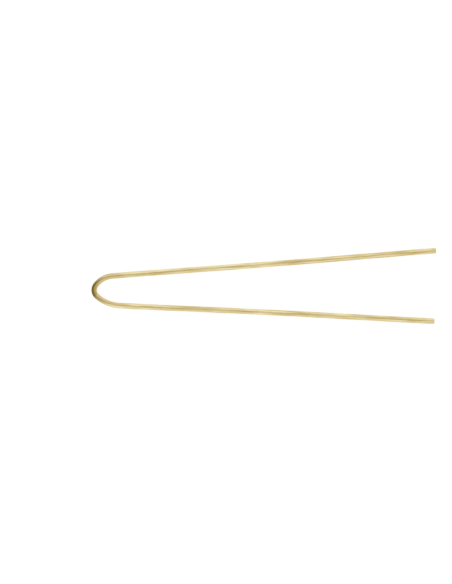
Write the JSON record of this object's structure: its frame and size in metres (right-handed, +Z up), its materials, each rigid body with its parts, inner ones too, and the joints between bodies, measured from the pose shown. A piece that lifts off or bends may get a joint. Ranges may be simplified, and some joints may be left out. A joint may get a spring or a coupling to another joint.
{
  "type": "hairpin",
  "caption": "Open U-shaped hairpin of one round gold-coloured wire: a narrow rounded bow and long straight legs that spread towards square-cut tips and flex where they leave the bow.",
  "frame": {"origin": "on the flat surface that the pin lies on, under the middle of its outline", "axes": "+X from the bow towards the tips, +Y towards the right leg, +Z up, square to the plane that the wire is bent in"},
  "size_m": [0.075, 0.0166, 0.0012],
  "materials": {
    "wire": "gloss"
  },
  "bodies": {
    "bow": {"bow": "wire"},
    "right_leg": {"right_leg": "wire"},
    "left_leg": {"left_leg": "wire"}
  },
  "joints": [
    {"name": "right_leg_flex", "type": "hinge", "parent": "bow", "child": "right_leg", "pos_m": [-0.02659, 0.00357, 0.0006], "axis": [0, 0, 1], "range_deg": [-6.2, 8], "stiffness_Nm_per_rad": 0.32},
    {"name": "left_leg_flex", "type": "hinge", "parent": "bow", "child": "left_leg", "pos_m": [-0.02659, -0.00361, 0.0006], "axis": [0, 0, -1], "range_deg": [-6.2, 8], "stiffness_Nm_per_rad": 0.32}
  ]
}
